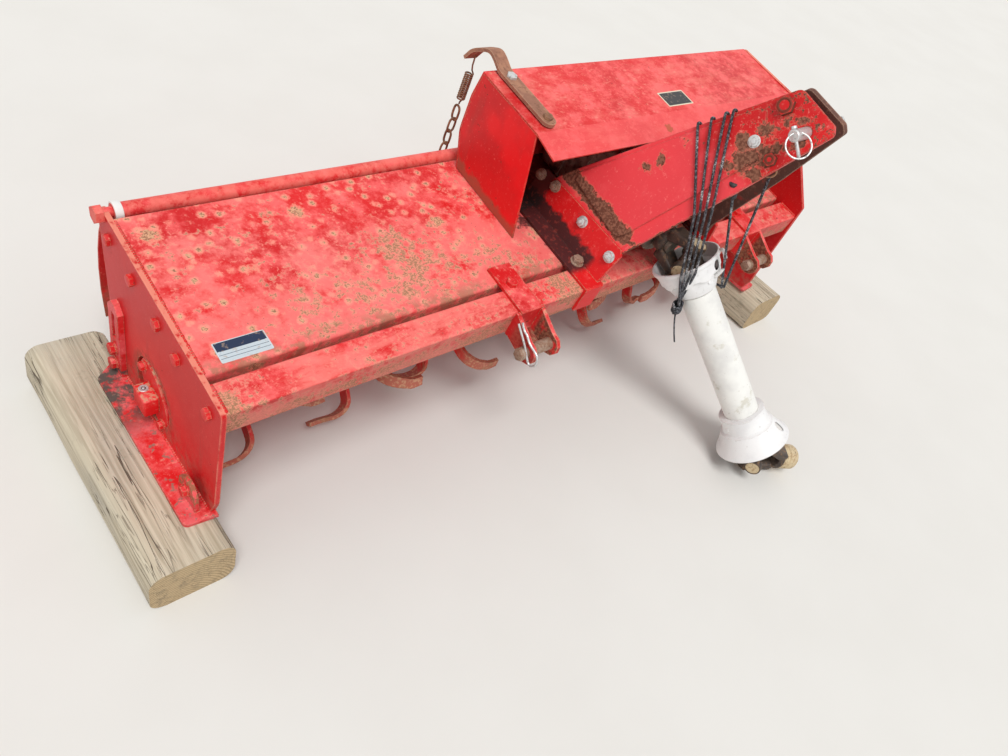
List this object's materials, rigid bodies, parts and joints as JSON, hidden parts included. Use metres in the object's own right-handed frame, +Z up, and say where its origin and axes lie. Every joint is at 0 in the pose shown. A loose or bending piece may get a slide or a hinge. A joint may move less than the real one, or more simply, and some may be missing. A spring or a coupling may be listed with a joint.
{
  "type": "tractor-mounted rotary tiller on timber bearers",
  "caption": "Rotary tiller for a tractor hitch: hood with hinged rear flap, tined rotor, leaning mast, side chain drive and guarded telescopic drive shaft, parked on timber bearers.",
  "frame": {"origin": "on the floor under the middle of the whole machine's box", "axes": "+X along the front beam towards the chain case, +Y to the rear, away from the tractor, +Z up"},
  "size_m": [1.656, 0.8598, 0.7496],
  "materials": {
    "cast_iron": "greasy dark cast iron",
    "cord": "black elastic cord",
    "guard_plastic": "off white guard plastic",
    "red_paint": "worn bright red paint, faded, with dirt and rust",
    "rusty_paint": "red paint gone to brown rust",
    "rusty_steel": "rusty bare steel",
    "steel": "zinc plated steel",
    "timber": "weathered grey brown timber",
    "tine_steel": "red paint worn through to steel on the tines"
  },
  "bodies": {
    "root": {"bearing_housing": "red_paint", "chain_case": "red_paint", "clevises": "red_paint", "cross_shaft_tube": "red_paint", "end_plate_left": "red_paint", "end_plate_right": "red_paint", "flap_chain": "rusty_steel", "flap_spring": "rusty_steel", "front_beam": "red_paint", "gearbox": "cast_iron", "hinge_rod": "red_paint", "hitch_pins": "rusty_steel", "hood": "red_paint", "hook_strap": "rusty_steel", "input_yoke": "cast_iron", "mast_base_left": "red_paint", "mast_base_right": "red_paint", "mast_plate_left": "red_paint", "mast_plate_right": "rusty_paint", "near_cross": "cast_iron", "shield_side": "red_paint", "shield_top": "red_paint", "skid_left": "red_paint", "skid_right": "red_paint", "tie_cords": "cord", "timber_left": "timber", "timber_right": "timber", "top_link_pin": "steel"},
    "rotor": {"tined_rotor": "tine_steel", "rotor_stubs": "steel"},
    "flap": {"flap": "red_paint"},
    "shaft_near": {"near_yoke": "cast_iron", "shaft_bar_inner": "rusty_steel", "guard_bell_near": "guard_plastic", "guard_tube_inner": "guard_plastic"},
    "shaft_far": {"guard_tube_outer": "guard_plastic", "shaft_tube_outer": "rusty_steel", "guard_bell_far": "guard_plastic", "far_yoke": "cast_iron"},
    "far_cross": {"far_cross": "cast_iron"},
    "tractor_yoke": {"tractor_yoke": "cast_iron", "tractor_coupling": "cast_iron"}
  },
  "joints": [
    {"name": "rotor_spin", "type": "hinge", "parent": "root", "child": "rotor", "pos_m": [0, 0.1939, 0.159], "axis": [1, 0, 0], "continuous": true},
    {"name": "flap_hinge", "type": "hinge", "parent": "root", "child": "flap", "pos_m": [0, 0.3509, 0.378], "axis": [1, 0, 0], "range_deg": [0, 55], "deforming": ["flap_chain"]},
    {"name": "shaft_lift", "type": "hinge", "parent": "root", "child": "shaft_near", "pos_m": [0.172, -0.06513, 0.38296], "axis": [-0.9177, -0.3934, -0.0561], "range_deg": [0, 60], "deforming": ["tie_cords"]},
    {"name": "shaft_slide", "type": "slide", "parent": "shaft_near", "child": "shaft_far", "axis": [0.3155, -0.6356, -0.7046], "range_m": [0, 0.15]},
    {"name": "far_cross_tilt", "type": "hinge", "parent": "shaft_far", "child": "far_cross", "pos_m": [0.32113, -0.36554, 0.0499], "axis": [-0.9177, -0.3934, -0.0561], "range_deg": [-70, 15]},
    {"name": "yoke_swing", "type": "hinge", "parent": "far_cross", "child": "tractor_yoke", "pos_m": [0.32113, -0.36554, 0.0499], "axis": [0.0465, -0.2464, 0.9681], "range_deg": [-80, 5]}
  ]
}
